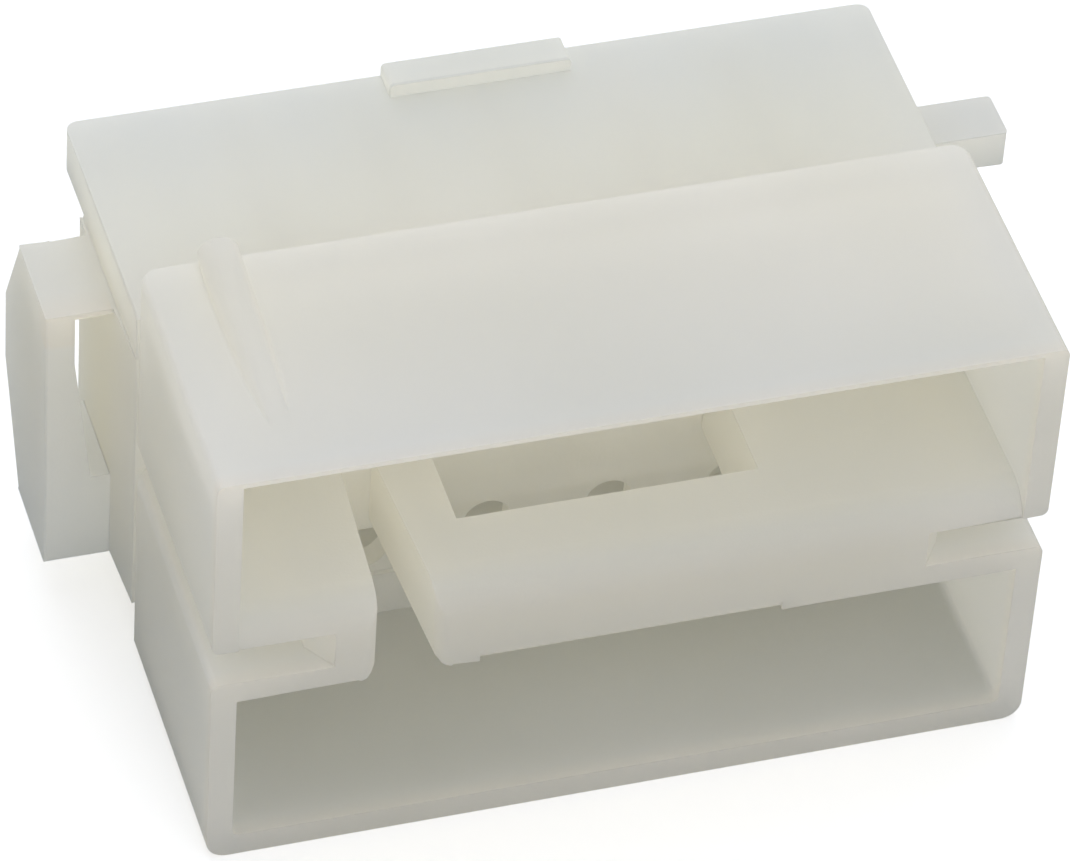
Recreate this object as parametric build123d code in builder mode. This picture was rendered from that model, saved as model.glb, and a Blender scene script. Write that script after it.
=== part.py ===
import os

from build123d import *

# Wire to board connector housing, injection moulded in one piece from natural nylon.
# Millimetres. X runs along the row of terminals, depths run back (+Y) from the mating face,
# and heights run up (+Z) from the flat underside that the housing rests on.

# Terminal row
positions = 6
pitch = 5.0
row_end_clearance = 0.5

# Shroud: a plug tube below, a latch tube above, and a groove in each side between them
wall = 1.0
shroud_depth = 12.1
back_wall = 1.7
plug_height = 7.3
latch_height = 6.5
groove_height = 1.7
groove_reach = 3.9
groove_flare = 0.9
groove_flare_depth = 1.3
latch_floor = 1.1
foot_corner = 0.8
side_corner = 0.3
back_corner = 0.8
lip_land = 0.2

# Shelf between the two tubes, with the latch window and the key slot
shelf_nose_radius = 1.5
shelf_foot_radius = 0.4
window_width = 12.0
window_setback = 3.9
shelf_rail = 1.75
key_mouth = 2.3
key_end = 1.35
key_depth = 7.9
key_corner = 0.6
key_foot_radius = 0.7

# Terminal apertures in the back of the plug tube, and the cavities behind them
aperture_width = 1.9
aperture_height = 2.5
aperture_wall = 1.0
band_height = 3.1
band_recess = 0.25
cavity_web = 0.8
cavity_height = 3.5

# Body behind the shroud, with pockets above the cavities that keep its walls even
body_bottom = 2.1
body_height = 12.95
body_length = 8.4
body_wedge = 0.15
pocket_web = 0.8

# Hood over the back of the body, with a low tab on its edge
hood_inset = 0.05
hood_thickness = 2.05
hood_skin = 1.0
hood_length = 11.65
hood_corner = 0.5
tab_width = 7.4
tab_depth = 1.4
tab_height = 0.6
tab_round = 0.2

# Panel ears: a sprung loop on the left and a plain tab on the right
panel_gap = 3.0
ear_plate = 1.65
loop_reach = 2.75
loop_length = 4.35
wing_thickness = 1.15
wing_root_thickness = 1.85
wing_root_height = 4.2
wing_straight = 0.9
lever_length = 2.3
lever_rise = 5.1
lever_flat = 3.4
right_ear_reach = 3.9
right_ear_length = 2.3
right_ear_corner = 0.2

# Guide rib on the shroud's roof, highest at the back
rib_from_side = 3.1
rib_radius = 0.8
rib_rise = 1.2
rib_start = 2.1

# Heights that follow from the driving dimensions
plug_ceiling = wall + plug_height
plug_middle = wall + plug_height / 2
groove_bottom = plug_ceiling + wall
groove_top = groove_bottom + groove_height
shelf_top = groove_top + latch_floor
latch_ceiling = shelf_top + latch_height
shroud_height = latch_ceiling + wall
body_top = body_bottom + body_height
hood_top = body_top + hood_thickness
slot_bottom = body_bottom + wing_root_height
plate_bottom = body_top - ear_plate

# Widths and depths that follow from the driving dimensions
row_width = positions * pitch
cavity_width = pitch - cavity_web
inner_width = row_width + 2 * row_end_clearance
shroud_width = inner_width + 2 * wall
hood_width = shroud_width - 2 * hood_inset
body_width = hood_width + 2 * body_wedge
mating_depth = shroud_depth - back_wall
cavity_front = mating_depth + band_recess + aperture_wall
body_end = shroud_depth + body_length
hood_end = shroud_depth + hood_length
ear_end = shroud_depth + panel_gap + loop_length
lip_lead_in = wall - lip_land
front_y = -shroud_depth / 2
ear_end_y = front_y + ear_end
shelf_clear = 1.0


def depth_plane(depth):
    """Plane parallel to the mating face, at a depth behind it, seen from the front."""
    return Plane.XZ.offset(-front_y - depth)


with BuildPart() as housing:
    # Shroud block, with a groove along each side and rounded corners at the foot and the back
    with BuildSketch(depth_plane(0)) as outline:
        Rectangle(shroud_width, shroud_height, align=(Align.CENTER, Align.MIN))
        with Locations((-shroud_width / 2, groove_bottom), (shroud_width / 2, groove_bottom)):
            Rectangle(
                2 * groove_reach, groove_height, align=(Align.CENTER, Align.MIN), mode=Mode.SUBTRACT
            )
        corners = outline.vertices().filter_by(lambda v: abs(v.X) > shroud_width / 2 - wall)
        fillet(corners.filter_by(lambda v: v.Y > plug_ceiling), side_corner)
        fillet(outline.vertices().group_by(Axis.Y)[0], foot_corner)
    extrude(amount=-shroud_depth)
    with BuildSketch() as plan:
        Rectangle(shroud_width, shroud_depth)
        fillet(plan.vertices().group_by(Axis.Y)[-1], back_corner)
    extrude(amount=shroud_height, mode=Mode.INTERSECT)

    # The inner end of each groove flares towards the mouth
    groove_end = shroud_width / 2 - groove_reach
    with BuildSketch(Plane.XY.offset(groove_bottom)):
        for side in (-1, 1):
            with BuildLine():
                Polyline(
                    (side * groove_end, front_y),
                    (side * (groove_end - groove_flare), front_y),
                    (side * groove_end, front_y + groove_flare_depth),
                    close=True,
                )
            make_face()
    extrude(amount=groove_height, mode=Mode.SUBTRACT)

    # Guide rib: a half-round bar that rises out of the roof towards the back
    rib_low = Vector(rib_from_side - shroud_width / 2, front_y + rib_start, shroud_height - rib_radius)
    rib_high = Vector(rib_low.X, -front_y, shroud_height + rib_rise - rib_radius)
    with BuildSketch(Plane(origin=rib_high, x_dir=(1, 0, 0), z_dir=rib_low - rib_high)):
        Circle(rib_radius)
    extrude(amount=(rib_high - rib_low).length)
    with BuildSketch(depth_plane(shroud_depth)):
        with Locations((rib_high.X, shroud_height)):
            Rectangle(4 * rib_radius, 4 * rib_radius)
    extrude(amount=-4 * rib_radius, mode=Mode.SUBTRACT)

    # Body behind the shroud, which holds the terminals and widens a little across the panel gap
    with BuildSketch(Plane.XY.offset(body_bottom)):
        with BuildLine():
            half_body = Polyline(
                (0, front_y + shroud_depth),
                (hood_width / 2, front_y + shroud_depth),
                (body_width / 2, front_y + shroud_depth + panel_gap),
                (body_width / 2, front_y + body_end),
                (0, front_y + body_end),
            )
            mirror(half_body, about=Plane.YZ)
        make_face()
    extrude(amount=body_height)

    # Hood: a plate from the shroud's back face to behind the body
    with BuildSketch(Plane.XY.offset(body_top)) as hood:
        with Locations((0, front_y + shroud_depth)):
            Rectangle(hood_width, hood_length, align=(Align.CENTER, Align.MIN))
        fillet(hood.vertices().group_by(Axis.Y)[-1], hood_corner)
    extrude(amount=hood_thickness)

    # Low tab on the hood's back edge
    with BuildSketch(depth_plane(hood_end)) as tab:
        with Locations((0, hood_top)):
            Rectangle(tab_width, 2 * tab_height)
        fillet(tab.vertices().group_by(Axis.Y)[-1], tab_round)
    extrude(amount=tab_depth)

    # Right ear: a plain tab that stands behind the panel
    with BuildSketch(Plane.XY.offset(plate_bottom)) as right_ear:
        with Locations((shroud_width / 2 - wall, ear_end_y)):
            Rectangle(
                right_ear_reach + wall,
                right_ear_length,
                align=(Align.MIN, Align.MAX),
            )
        fillet(right_ear.vertices().group_by(Axis.X)[-1], right_ear_corner)
    extrude(amount=ear_plate)

    # Left ear: a loop whose outer side is a wing that springs in as the housing is pushed home
    loop_side = -shroud_width / 2 - loop_reach
    wing_inner = loop_side + wing_thickness
    root_inner = loop_side + wing_root_thickness
    body_side = -body_width / 2
    with BuildSketch(depth_plane(ear_end)):
        with Locations((loop_side, body_bottom)):
            Rectangle(body_side + wall - loop_side, body_height, align=(Align.MIN, Align.MIN))
        with BuildLine():
            Polyline(
                (body_side, slot_bottom),
                (root_inner, slot_bottom),
                (wing_inner, plate_bottom - wing_straight),
                (wing_inner, plate_bottom),
                (body_side, plate_bottom),
                close=True,
            )
        make_face(mode=Mode.SUBTRACT)
    extrude(amount=loop_length)

    # The loop's top plate is thinned to a lip along its front edge
    loop_front_y = ear_end_y - loop_length
    with BuildSketch(Plane.YZ.offset(wing_inner)):
        with BuildLine():
            Polyline(
                (loop_front_y, body_top - lip_land),
                (loop_front_y, plate_bottom),
                (loop_front_y + ear_plate - lip_land, plate_bottom),
                close=True,
            )
        make_face()
    extrude(amount=body_side - wing_inner, mode=Mode.SUBTRACT)

    # The wing's lever behind the loop, with both its corners cut away
    with BuildSketch(Plane.YZ.offset(loop_side)):
        with BuildLine():
            Polyline(
                (ear_end_y - wing_thickness, body_bottom),
                (ear_end_y, body_bottom),
                (ear_end_y + lever_length, body_bottom + lever_rise),
                (ear_end_y + lever_length, body_bottom + lever_rise + lever_flat),
                (ear_end_y, body_top),
                (ear_end_y - wing_thickness, body_top),
                close=True,
            )
        make_face()
    extrude(amount=wing_thickness)

    # Plug tube and latch tube
    with BuildSketch(depth_plane(0)) as mouths:
        with Locations((0, wall)):
            Rectangle(inner_width, plug_height, align=(Align.CENTER, Align.MIN))
        fillet(mouths.vertices().group_by(Axis.Y)[0], side_corner)
        with Locations((0, shelf_top)):
            Rectangle(inner_width, latch_height, align=(Align.CENTER, Align.MIN))
    extrude(amount=-mating_depth, mode=Mode.SUBTRACT)

    # Lead-ins: the latch tube's upper lip is thinned, and the shelf's nose is rounded
    nose_top = (front_y + shelf_nose_radius, shelf_top)
    nose_front = (front_y, shelf_top - shelf_nose_radius)
    with BuildSketch(Plane.YZ):
        with BuildLine():
            Polyline(
                (front_y, latch_ceiling),
                (front_y, latch_ceiling + lip_lead_in),
                (front_y + lip_lead_in, latch_ceiling),
                close=True,
            )
        make_face()
        with BuildLine():
            Polyline(nose_front, (front_y, shelf_top), nose_top)
            RadiusArc(nose_top, nose_front, -shelf_nose_radius)
        make_face()
    extrude(amount=inner_width / 2, both=True, mode=Mode.SUBTRACT)

    # The shelf's foot is rounded too, in front of the window
    foot_front = (front_y, plug_ceiling + shelf_foot_radius)
    foot_back = (front_y + shelf_foot_radius, plug_ceiling)
    with BuildSketch(Plane.YZ):
        with BuildLine():
            Polyline(foot_front, (front_y, plug_ceiling), foot_back)
            RadiusArc(foot_back, foot_front, shelf_foot_radius)
        make_face()
    extrude(amount=window_width / 2, both=True, mode=Mode.SUBTRACT)

    # Latch window through the shelf, back to the end of the tubes
    with BuildSketch(Plane.XY.offset(plug_ceiling - shelf_clear)):
        with Locations((0, front_y + window_setback)):
            Rectangle(window_width, mating_depth - window_setback, align=(Align.CENTER, Align.MIN))
    extrude(amount=shelf_top - plug_ceiling + 2 * shelf_clear, mode=Mode.SUBTRACT)

    # Key slot through the shelf, wider at its mouth
    key_middle = -window_width / 2 - shelf_rail - key_mouth / 2
    with BuildSketch(Plane.XY.offset(plug_ceiling - shelf_clear)) as key:
        with BuildLine():
            Polyline(
                (key_middle - key_mouth / 2, front_y),
                (key_middle + key_mouth / 2, front_y),
                (key_middle + key_end / 2, front_y + key_depth),
                (key_middle - key_end / 2, front_y + key_depth),
                close=True,
            )
        make_face()
        with Locations((key_middle, front_y)):
            Rectangle(2 * key_mouth, shelf_clear, align=(Align.CENTER, Align.MAX))
        mouth_corners = key.vertices().sort_by_distance((key_middle, front_y))[:2]
        fillet(mouth_corners, key_corner)
    extrude(amount=shelf_top - plug_ceiling + 2 * shelf_clear, mode=Mode.SUBTRACT)

    # The slot's lower edges are rounded
    for depth, width in ((0, key_mouth), (key_depth, key_end)):
        foot_side = width / 2 + key_foot_radius
        with BuildSketch(depth_plane(depth)):
            with Locations((key_middle, plug_ceiling)):
                Rectangle(2 * foot_side, key_foot_radius, align=(Align.CENTER, Align.MIN))
                with Locations((-foot_side, key_foot_radius), (foot_side, key_foot_radius)):
                    Circle(key_foot_radius, mode=Mode.SUBTRACT)
    loft(mode=Mode.SUBTRACT)

    # Terminal apertures in a recessed band at the back of the plug tube
    with BuildSketch(depth_plane(mating_depth)):
        with Locations((0, plug_middle)):
            Rectangle(row_width, band_height)
    extrude(amount=-band_recess, mode=Mode.SUBTRACT)
    with BuildSketch(depth_plane(mating_depth)):
        with Locations((0, plug_middle)):
            with GridLocations(pitch, pitch, positions, 1):
                SlotOverall(aperture_height, aperture_width, rotation=90)
    extrude(amount=mating_depth - cavity_front, mode=Mode.SUBTRACT)

    # Terminal cavities, open at the back of the body
    with BuildSketch(depth_plane(body_end)):
        with Locations((0, plug_middle)):
            with GridLocations(pitch, pitch, positions, 1):
                Rectangle(cavity_width, cavity_height)
    extrude(amount=body_end - cavity_front, mode=Mode.SUBTRACT)

    # Blind pockets above the cavities, with the end ones widened to the side walls. They run up into
    # the hood and out under its back edge, where the webs between them go on as ribs.
    pocket_bottom = plug_middle + cavity_height / 2 + pocket_web
    pocket_height = hood_top - hood_skin - pocket_bottom
    with BuildSketch(depth_plane(hood_end)):
        with Locations((0, pocket_bottom)):
            Rectangle(hood_width - 2 * wall, pocket_height, align=(Align.CENTER, Align.MIN))
            with GridLocations(pitch, pitch, positions - 1, 1):
                Rectangle(
                    cavity_web, pocket_height, align=(Align.CENTER, Align.MIN), mode=Mode.SUBTRACT
                )
    extrude(amount=hood_end - cavity_front, mode=Mode.SUBTRACT)

housing.part.label = "housing"
os.makedirs("parts", exist_ok=True)
export_step(housing.part, "parts/housing.step")
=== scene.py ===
import math

import bpy
from mathutils import Euler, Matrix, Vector

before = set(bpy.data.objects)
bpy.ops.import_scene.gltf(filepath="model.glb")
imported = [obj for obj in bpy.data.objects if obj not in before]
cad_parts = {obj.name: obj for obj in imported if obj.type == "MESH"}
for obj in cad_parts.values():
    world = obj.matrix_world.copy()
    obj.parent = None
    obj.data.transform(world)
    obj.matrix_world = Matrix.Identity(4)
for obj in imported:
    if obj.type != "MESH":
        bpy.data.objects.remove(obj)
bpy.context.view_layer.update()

# Housing: the whole object is one moulding, shot in one piece from natural nylon.
# The raw plastic is milky and lets some light through, so thin lips and webs glow and deep
# places turn tan. Its moulded edges are slightly soft.
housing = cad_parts["housing"]
edge_round = 0.0001
same_point = 0.000002
same_plane = math.radians(0.5)
sharp_edge = math.radians(32)

weld = housing.modifiers.new("Weld", "WELD")
weld.merge_threshold = same_point
flats = housing.modifiers.new("Flats", "DECIMATE")
flats.decimate_type = "DISSOLVE"
flats.angle_limit = same_plane

# On this mesh the clamp shrinks the rounding to nothing, and arc miters cover the back's openings
soft = housing.modifiers.new("SoftEdges", "BEVEL")
soft.offset_type = "ABSOLUTE"
soft.width = edge_round
soft.segments = 3
soft.use_clamp_overlap = False
soft.loop_slide = False
soft.miter_outer = "MITER_SHARP"
soft.limit_method = "ANGLE"
soft.angle_limit = sharp_edge

# Large faces keep their own normals, so that only the rounded edges turn
even = housing.modifiers.new("EvenFaces", "WEIGHTED_NORMAL")
even.weight = 100
even.keep_sharp = False

nylon = bpy.data.materials.new("natural_nylon")
nylon.use_nodes = True
nodes = nylon.node_tree.nodes
links = nylon.node_tree.links
shader = nodes["Principled BSDF"]
nylon_ior = 1.53
shader.inputs["IOR"].default_value = nylon_ior

place = nodes.new("ShaderNodeTexCoord")


def noise(scale, detail):
    """Solid noise in object coordinates, with its feature size set per metre."""
    texture = nodes.new("ShaderNodeTexNoise")
    texture.inputs["Scale"].default_value = scale
    texture.inputs["Detail"].default_value = detail
    texture.inputs["Roughness"].default_value = 0.55
    links.new(place.outputs["Object"], texture.inputs["Vector"])
    return texture.outputs["Fac"]


def ramp(value, low, high):
    """Maps the usual span of a noise, 0.3 to 0.7, to a range."""
    mapped = nodes.new("ShaderNodeMapRange")
    mapped.inputs["From Min"].default_value = 0.3
    mapped.inputs["From Max"].default_value = 0.7
    mapped.inputs["To Min"].default_value = low
    mapped.inputs["To Max"].default_value = high
    links.new(value, mapped.inputs["Value"])
    return mapped.outputs["Result"]


# Slow, faint clouds in the milky colour
cloud_scale = 140.0
cloud = ramp(noise(cloud_scale, 0.0), 0.0, 1.0)
where = nodes.new("ShaderNodeSeparateXYZ")
links.new(place.outputs["Object"], where.inputs["Vector"])


def along(axis, span):
    """Goes from 0 at a span's first place on an axis to 1 at its second, in metres."""
    mapped = nodes.new("ShaderNodeMapRange")
    mapped.inputs["From Min"].default_value = span[0]
    mapped.inputs["From Max"].default_value = span[1]
    links.new(where.outputs[axis], mapped.inputs["Value"])
    return mapped.outputs["Result"]


def join(first, second, how):
    """Joins two masks, by MULTIPLY or MAXIMUM."""
    joined = nodes.new("ShaderNodeMath")
    joined.operation = how
    links.new(first, joined.inputs[0])
    links.new(second, joined.inputs[1])
    return joined.outputs["Value"]


# Painted glow: the thin rim round the mouth and the left ear plate's lip look warmer, so they get
# a warm tint that stands in for light shining through thin walls
outside_body = (-0.01662, -0.01668)
plate_height = (0.0133, 0.0136)
lip_depth = (0.0104, 0.0091)
rim_depth = (-0.0053, -0.00605)
plate = join(along("X", outside_body), along("Z", plate_height), "MULTIPLY")
lip = join(plate, along("Y", lip_depth), "MULTIPLY")
thin = join(lip, along("Y", rim_depth), "MAXIMUM")

# Painted shade: the roof's rib and the step in front of the hood's tab are both darkened, so that
# the light they catch hardly shows
step_back = (0.0165, 0.0164)
step_front = (0.0160, 0.0162)
above_hood = (0.01712, 0.01718)
rib_height = (0.0196, 0.0212)
step = join(along("Y", step_back), along("Y", step_front), "MULTIPLY")
step = join(step, along("Z", above_hood), "MULTIPLY")
painted_shade = join(step, along("Z", rib_height), "MAXIMUM")

# Painted light: the hood is made a little lighter
hood_depth = (0.0070, 0.0100)
hood_height = (0.0150, 0.0165)
hood = join(along("Y", hood_depth), along("Z", hood_height), "MULTIPLY")


def blend(kind, mask, under, over):
    """Lays a colour over another where the mask is 1."""
    mixed = nodes.new("ShaderNodeMix")
    mixed.data_type = "RGBA"
    mixed.blend_type = kind
    links.new(mask, mixed.inputs["Factor"])
    if isinstance(under, tuple):
        mixed.inputs["A"].default_value = (*under, 1.0)
    else:
        links.new(under, mixed.inputs["A"])
    mixed.inputs["B"].default_value = (*over, 1.0)
    return mixed.outputs["Result"]


# Painted glow: the warm tint of the thin rim and lip
thin_glow_tint = (1.01, 0.988, 0.962)
# Painted light: the hood's lighter tint
hood_light_tint = (1.015, 1.022, 1.022)
# Painted shade: the darkening of the rib and the tab's step
painted_shade_tint = (0.90, 0.90, 0.90)


def milky(low, high):
    """A colour that drifts with the clouds, with painted glow on the thin walls, painted light on
    the hood and painted shade on the rib and the tab's step.
    """
    tint = blend("MIX", cloud, low, high)
    tint = blend("MULTIPLY", thin, tint, thin_glow_tint)
    tint = blend("MULTIPLY", hood, tint, hood_light_tint)
    return blend("MULTIPLY", painted_shade, tint, painted_shade_tint)


# The skin throws cool light back
skin_low = (0.940, 0.951, 0.951)
skin_high = (0.958, 0.968, 0.971)
links.new(milky(skin_low, skin_high), shader.inputs["Base Color"])

# Satin skin: a fine grain, and a gloss that drifts a little from place to place
grain_scale = 9000.0
grain_strength = 0.12
grain_depth = 0.00002
gloss_scale = 420.0
roughness_low = 0.38
roughness_high = 0.52
grain = noise(grain_scale, 0.0)
gloss = noise(gloss_scale, 1.0)
links.new(ramp(gloss, roughness_low, roughness_high), shader.inputs["Roughness"])
bump = nodes.new("ShaderNodeBump")
bump.inputs["Strength"].default_value = grain_strength
bump.inputs["Distance"].default_value = grain_depth
links.new(grain, bump.inputs["Height"])
links.new(bump.outputs["Normal"], shader.inputs["Normal"])

# Milky body: most of the light that meets a wall goes into it and comes out tan on the other side
bulk_low = (0.951, 0.922, 0.834)
bulk_high = (0.967, 0.938, 0.860)
share_through = 0.65
through = nodes.new("ShaderNodeBsdfTranslucent")
links.new(milky(bulk_low, bulk_high), through.inputs["Color"])
links.new(bump.outputs["Normal"], through.inputs["Normal"])
milk = nodes.new("ShaderNodeMixShader")
milk.inputs["Fac"].default_value = share_through
links.new(shader.outputs["BSDF"], milk.inputs[1])
links.new(through.outputs["BSDF"], milk.inputs[2])
links.new(milk.outputs["Shader"], nodes["Material Output"].inputs["Surface"])

# Light crosses many walls before it leaves, and without the light tree it renders sooner
wall_crossings = 16
bpy.context.scene.cycles.max_bounces = wall_crossings
bpy.context.scene.cycles.diffuse_bounces = wall_crossings
bpy.context.scene.cycles.use_light_tree = False

housing.data.materials.clear()
housing.data.materials.append(nylon)

# Floor: a plain pale sheet under the housing. The camera sees it white with the housing's shadow,
# and it throws only a little cool light back up, as in the photo, where the low faces are greyer.
# It lies a hair below the housing, because two faces in one plane let light in from below.
floor_size = 3.0
floor_gap = 0.00003
bounce_shade = (0.355, 0.41, 0.465, 1.0)
seen_shade = (0.94, 0.915, 0.86, 1.0)
seen_glow = 0.42
bpy.ops.mesh.primitive_plane_add(size=floor_size, location=(0, 0, -floor_gap))
floor = bpy.context.object
floor.name = "floor"
paper = bpy.data.materials.new("paper")
paper.use_nodes = True
sheet = paper.node_tree.nodes["Principled BSDF"]
sheet.inputs["Roughness"].default_value = 0.9
sheet.inputs["Specular IOR Level"].default_value = 0.1
sheet.inputs["Emission Color"].default_value = (1.0, 1.0, 1.0, 1.0)
seen = paper.node_tree.nodes.new("ShaderNodeLightPath")
shade = paper.node_tree.nodes.new("ShaderNodeMix")
shade.data_type = "RGBA"
shade.inputs["A"].default_value = bounce_shade
shade.inputs["B"].default_value = seen_shade
glow = paper.node_tree.nodes.new("ShaderNodeMath")
glow.operation = "MULTIPLY"
glow.inputs[1].default_value = seen_glow
paper.node_tree.links.new(seen.outputs["Is Camera Ray"], shade.inputs["Factor"])
paper.node_tree.links.new(shade.outputs["Result"], sheet.inputs["Base Color"])
paper.node_tree.links.new(seen.outputs["Is Camera Ray"], glow.inputs[0])
paper.node_tree.links.new(glow.outputs["Value"], sheet.inputs["Emission Strength"])
floor.data.materials.append(paper)

# Studio: a pale blue surround, which the camera and the gloss see as white, and four soft boxes
# of the same daylight: overhead, in front, low in front and behind.
daylight = (0.85, 0.892, 1.0)
surround_strength = 0.56
world = bpy.data.worlds.new("studio")
bpy.context.scene.world = world
world.use_nodes = True
sky = world.node_tree
surround = sky.nodes["Background"]
surround.inputs["Color"].default_value = (*daylight, 1.0)
surround.inputs["Strength"].default_value = surround_strength
backdrop = sky.nodes.new("ShaderNodeBackground")
backdrop.inputs["Color"].default_value = (1.0, 1.0, 1.0, 1.0)
backdrop.inputs["Strength"].default_value = 1.0
ray = sky.nodes.new("ShaderNodeLightPath")
shown = sky.nodes.new("ShaderNodeMath")
shown.operation = "MAXIMUM"
shiny = sky.nodes.new("ShaderNodeMath")
shiny.operation = "MAXIMUM"
choose = sky.nodes.new("ShaderNodeMixShader")
sky.links.new(ray.outputs["Is Glossy Ray"], shiny.inputs[0])
sky.links.new(ray.outputs["Is Transmission Ray"], shiny.inputs[1])
sky.links.new(ray.outputs["Is Camera Ray"], shown.inputs[0])
sky.links.new(shiny.outputs["Value"], shown.inputs[1])
sky.links.new(shown.outputs["Value"], choose.inputs["Fac"])
sky.links.new(surround.outputs["Background"], choose.inputs[1])
sky.links.new(backdrop.outputs["Background"], choose.inputs[2])
sky.links.new(choose.outputs["Shader"], sky.nodes["World Output"].inputs["Surface"])


def soft_box(name, stand, aim, size, power):
    """A square area light that points at a place on the object."""
    data = bpy.data.lights.new(name, "AREA")
    data.shape = "SQUARE"
    data.size = size
    data.energy = power
    data.color = daylight
    lamp = bpy.data.objects.new(name, data)
    bpy.context.collection.objects.link(lamp)
    lamp.location = stand
    lamp.rotation_euler = (Vector(aim) - Vector(stand)).to_track_quat("-Z", "Y").to_euler()


soft_box("over", stand=(0.02, 0.10, 0.40), aim=(0.0, 0.005, 0.01), size=0.35, power=0.36)
soft_box("front", stand=(0.04, -0.34, 0.33), aim=(0.0, 0.0, 0.01), size=0.30, power=0.28)
soft_box("low", stand=(0.0, -0.45, 0.10), aim=(0.0, 0.0, 0.01), size=0.25, power=0.11)
soft_box("back", stand=(0.0, 0.40, 0.14), aim=(0.0, 0.01, 0.01), size=0.30, power=0.50)

# Camera: from the front left and above, with a long lens, as the photo was taken
camera_place = (-0.068289, -0.189559, 0.202837)
camera_turn = (46.658, -3.033, -16.365)
lens = bpy.data.cameras.new("camera")
lens.sensor_width = 36.0
lens.lens = 242.3
lens.clip_start = 0.01
camera = bpy.data.objects.new("camera", lens)
bpy.context.collection.objects.link(camera)
camera.location = camera_place
camera.rotation_euler = Euler([math.radians(angle) for angle in camera_turn], "XYZ")
bpy.context.scene.camera = camera

bpy.context.scene.view_settings.view_transform = "Standard"
